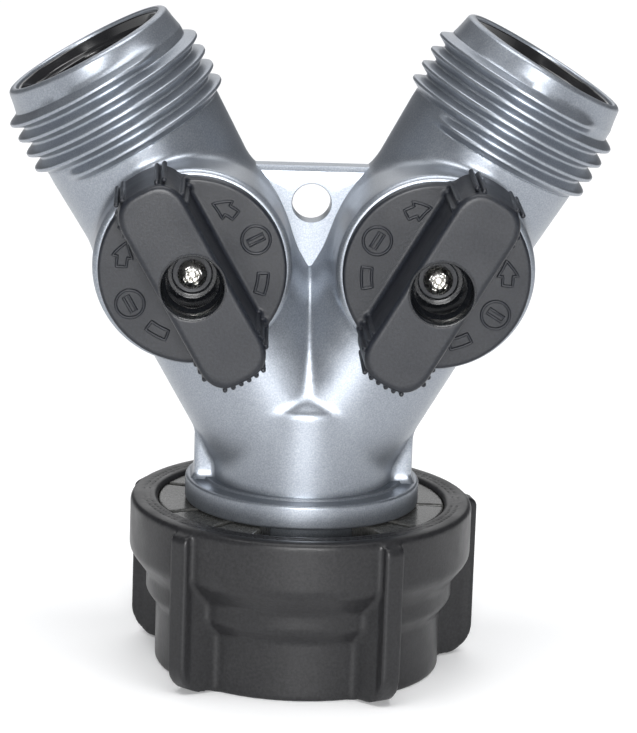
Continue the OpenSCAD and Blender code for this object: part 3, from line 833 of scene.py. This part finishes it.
# ---- Wing nut -----------------------------------------------------------------
NUT_PROFILE = [
    (0.0, NUT_LOW_R), (8.0, NUT_LOW_R + 0.05), (8.3, NUT_LOW_R + 0.25), (9.6, NUT_MID_R - 0.2),
    (10.0, NUT_MID_R), (12.1, NUT_MID_R), (12.6, NUT_MID_R + 0.2), (14.9, NUT_TOP_R - 0.4),
    (15.5, NUT_TOP_R - 0.1), (16.0, NUT_TOP_R), (NUT_H, NUT_TOP_R),
]


def nut(x, y, z):
    """Distance field of the wing nut with its inlet thread and ring pocket."""
    rad = np.hypot(x, y)
    f = rad - polyline_r(z, NUT_PROFILE)
    f = smax(f * 0.9, z - NUT_H, 0.9)
    f = smax(f, -z, 0.5)
    ang = np.arctan2(x, -y) - math.radians(WING_PHASE)
    step = 2 * math.pi / WING_N
    a = (ang + step / 2) % step - step / 2
    u, v = rad * np.cos(a), rad * np.sin(a)
    # A wing, spreading where it meets the band, with its outer corners rounded.
    flare = np.clip(NUT_TOP_R - 0.3 - u, 0, 4) * 0.34
    flat = box2(u - WING_R + 4.0, z - 11.0, 4.0, 10.8, 0.25)
    cut = np.hypot(np.maximum(u - (WING_R - 4.0), 0), np.maximum(4.1 - z, 0)) - 4.0
    top = np.hypot(np.maximum(u - (WING_R - 1.2), 0), np.maximum(z - 20.7, 0)) - 1.2
    flat = np.maximum(np.maximum(flat, cut), top)
    wing = smax(flat, (np.abs(v) - WING_T / 2 - flare) * 0.9, 0.35)
    f = smin(f, wing, 0.6)
    # Two fine turned lines on the top rim.
    for r in (20.35, 21.05):
        f = smax(f, 0.14 - np.hypot(rad - r, z - NUT_H), 0.1)
    # Bore, thread and the pocket for the snap ring.
    turn = z / PITCH - ang / (2 * math.pi)
    off = (turn - np.round(turn)) * PITCH
    h = np.clip(np.abs(off) / (PITCH / 2), 0, 1)
    groove = np.clip((h - 0.2) / 0.52, 0, 1)
    gate = np.clip((z - 0.9) / 0.6, 0, 1) * np.clip((NUT_THREAD_TOP - z) / 0.6, 0, 1)
    wall = NUT_CREST + (NUT_ROOT - NUT_CREST) * groove * gate + np.clip(0.6 - z, 0, 1)
    bore = rad - wall
    bore = np.minimum(bore, np.maximum(rad - SEAT_R, SEAT_Z - z))
    f = smax(f, -bore, 0.15)
    pocket = np.maximum(rad - POCKET_R, np.maximum(RING_Z - z, z - POCKET_TOP))
    lip_r = POCKET_LIP_R + np.clip(z - RING_TOP, 0, 1) * 0.9
    pocket = np.minimum(pocket, np.maximum(rad - lip_r, RING_Z - z))
    return smax(f, -pocket, 0.2)


H_NUT = 0.36
npt, nq = surface_net(nut, (-24.6, -24.6, -0.9), (24.6, 24.6, 23.6), H_NUT)
nut_ob = make("wing_nut", npt, nq, NUT_BLACK, "black_plastic", "inlet_nut")
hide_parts("coupling_nut")


def snap_ring(x, y, z):
    """Distance field of the slotted ring with its open sector."""
    rad = np.hypot(x, y)
    f = disc3(rad, z, RING_R, RING_Z, RING_Z + RING_STEP, 0.15)
    top = disc3(rad, z, RING_TOP_R, RING_Z, RING_TOP, 0.25)
    f = smin(f, top, 0.1)
    f = smax(f, RING_IN_R - rad, 0.3)
    ang = np.degrees(np.arctan2(x, -y))
    mid, half = (GAP[0] + GAP[1]) / 2, (GAP[1] - GAP[0]) / 2
    a = np.radians((ang - mid + 180) % 360 - 180)
    # Distance outside the open sector's two faces.
    h = math.radians(half)
    wedge = np.where(np.abs(a) < math.radians(half + 90), rad * np.sin(h - np.abs(a)), -rad)
    f = smax(f, wedge, 0.3)
    for s in SLOTS:
        t = math.radians(s)
        u = x * math.sin(t) - y * math.cos(t)
        v = x * math.cos(t) + y * math.sin(t)
        below = RING_TOP - SLOT_DEPTH - z
        slot = np.maximum(np.abs(v) - SLOT_W / 2, np.maximum(SLOT_IN_R - u, below))
        f = smax(f, -slot, 0.2)
    return f


H_RING = 0.27
rp, rq = surface_net(snap_ring, (-20.2, -20.2, 18.2), (20.2, 20.2, 22.8), H_RING)
ring_ob = make("snap_ring", rp, rq, RING_BLACK, "black_plastic", "inlet_nut")
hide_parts("nut_snap_ring")

prof = rounded([(7.95, 11.0), (12.7, 11.0), (12.7, 14.15), (7.95, 14.15)], [0.4] * 4)
w = make("inlet_washer", *lathe(prof), RUBBER, "black_rubber", "inlet_nut", angle=50)
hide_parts("hose_washer")

# ---- CAD nodes that stay, with finished materials --------------------------------
for node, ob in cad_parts.items():
    mat = None
    if node.endswith("_ball"):
        mat = CHROME
    elif node.endswith("_stem"):
        mat = BRASS
    elif node.endswith(("_o_ring", "_o_rings")):
        mat = RUBBER
    elif node.endswith("_ball_seat"):
        mat = SEAT
    if mat:
        for s in ob.material_slots:
            s.material = mat

# ---- Floor, light, camera ---------------------------------------------------------
me = bpy.data.meshes.new("floor")
F = 3.0
me.from_pydata([(-F, -F, 0), (F, -F, 0), (F, F, 0), (-F, F, 0)], [], [(0, 1, 2, 3)])
floor = bpy.data.objects.new("floor", me)
bpy.context.scene.collection.objects.link(floor)
fm, _, fb = material("floor", (0.9, 0.9, 0.9), 0.6)
fb.inputs["Emission Color"].default_value = (0.97, 0.98, 1, 1)
fb.inputs["Emission Strength"].default_value = 0.12
me.materials.append(fm)

world = bpy.data.worlds.new("studio")
bpy.context.scene.world = world
world.use_nodes = True
world.node_tree.nodes["Background"].inputs["Color"].default_value = (0.9, 0.93, 1.0, 1)
world.node_tree.nodes["Background"].inputs["Strength"].default_value = 0.14


def area(name, at, look, size, power):
    """A rectangular light at one place (m), turned to another; power in W."""
    d = bpy.data.lights.new(name, "AREA")
    d.shape = "RECTANGLE"
    d.size, d.size_y = size
    d.energy = power
    ob = bpy.data.objects.new(name, d)
    ob.location = at
    ob.rotation_euler = (Vector(look) - Vector(at)).to_track_quat("-Z", "Y").to_euler()
    bpy.context.scene.collection.objects.link(ob)


area("key", (-0.01, -0.85, 0.2), (0, 0, 0.045), (0.24, 0.24), 7.2)
area("low", (0.02, -0.8, 0.05), (0, 0, 0.03), (0.3, 0.06), 0.3)
area("left", (-0.8, -0.35, 0.45), (0, 0, 0.05), (0.25, 0.5), 0.08)
area("right", (0.8, -0.35, 0.45), (0, 0, 0.05), (0.25, 0.5), 0.04)
area("top", (0, -0.25, 0.9), (0, 0, 0.05), (0.9, 0.5), 8.5)
area("wash", (0, 0.85, 0.9), (0, 0.85, 0), (1.4, 0.9), 6.0)
area("back", (0, 1.5, 0.55), (0, 0, 0.05), (0.9, 0.9), 2.3)

AZ, EL, ROLL = math.radians(-2.26), math.radians(12.8), math.radians(1.96)
DIST = 0.499
LENS = 185.16  # mm, with a sensor 36 mm high
AIM_RIGHT, AIM_DOWN = math.radians(0.159), math.radians(1.064)  # from the target to the axis
target = Vector((0, 0, 0.05))
back = Vector((math.sin(AZ) * math.cos(EL), -math.cos(AZ) * math.cos(EL), math.sin(EL)))
right = Vector((math.cos(AZ), math.sin(AZ), 0))
up = back.cross(right)
right, up = (
    right * math.cos(ROLL) + up * math.sin(ROLL),
    up * math.cos(ROLL) - right * math.sin(ROLL),
)
place = target + back * DIST
look = (right * math.tan(AIM_RIGHT) - up * math.tan(AIM_DOWN) - back).normalized()
back = -look
right = (right - back * right.dot(back)).normalized()
up = back.cross(right)
cam_data = bpy.data.cameras.new("camera")
cam_data.sensor_fit = "VERTICAL"
cam_data.sensor_height = 36
cam_data.lens = LENS
cam_data.clip_start = 0.01
cam = bpy.data.objects.new("camera", cam_data)
cam.matrix_world = Matrix((
    (right.x, up.x, back.x, place.x),
    (right.y, up.y, back.y, place.y),
    (right.z, up.z, back.z, place.z),
    (0, 0, 0, 1),
))
bpy.context.scene.collection.objects.link(cam)
bpy.context.scene.camera = cam
bpy.context.scene.view_settings.view_transform = "Standard"
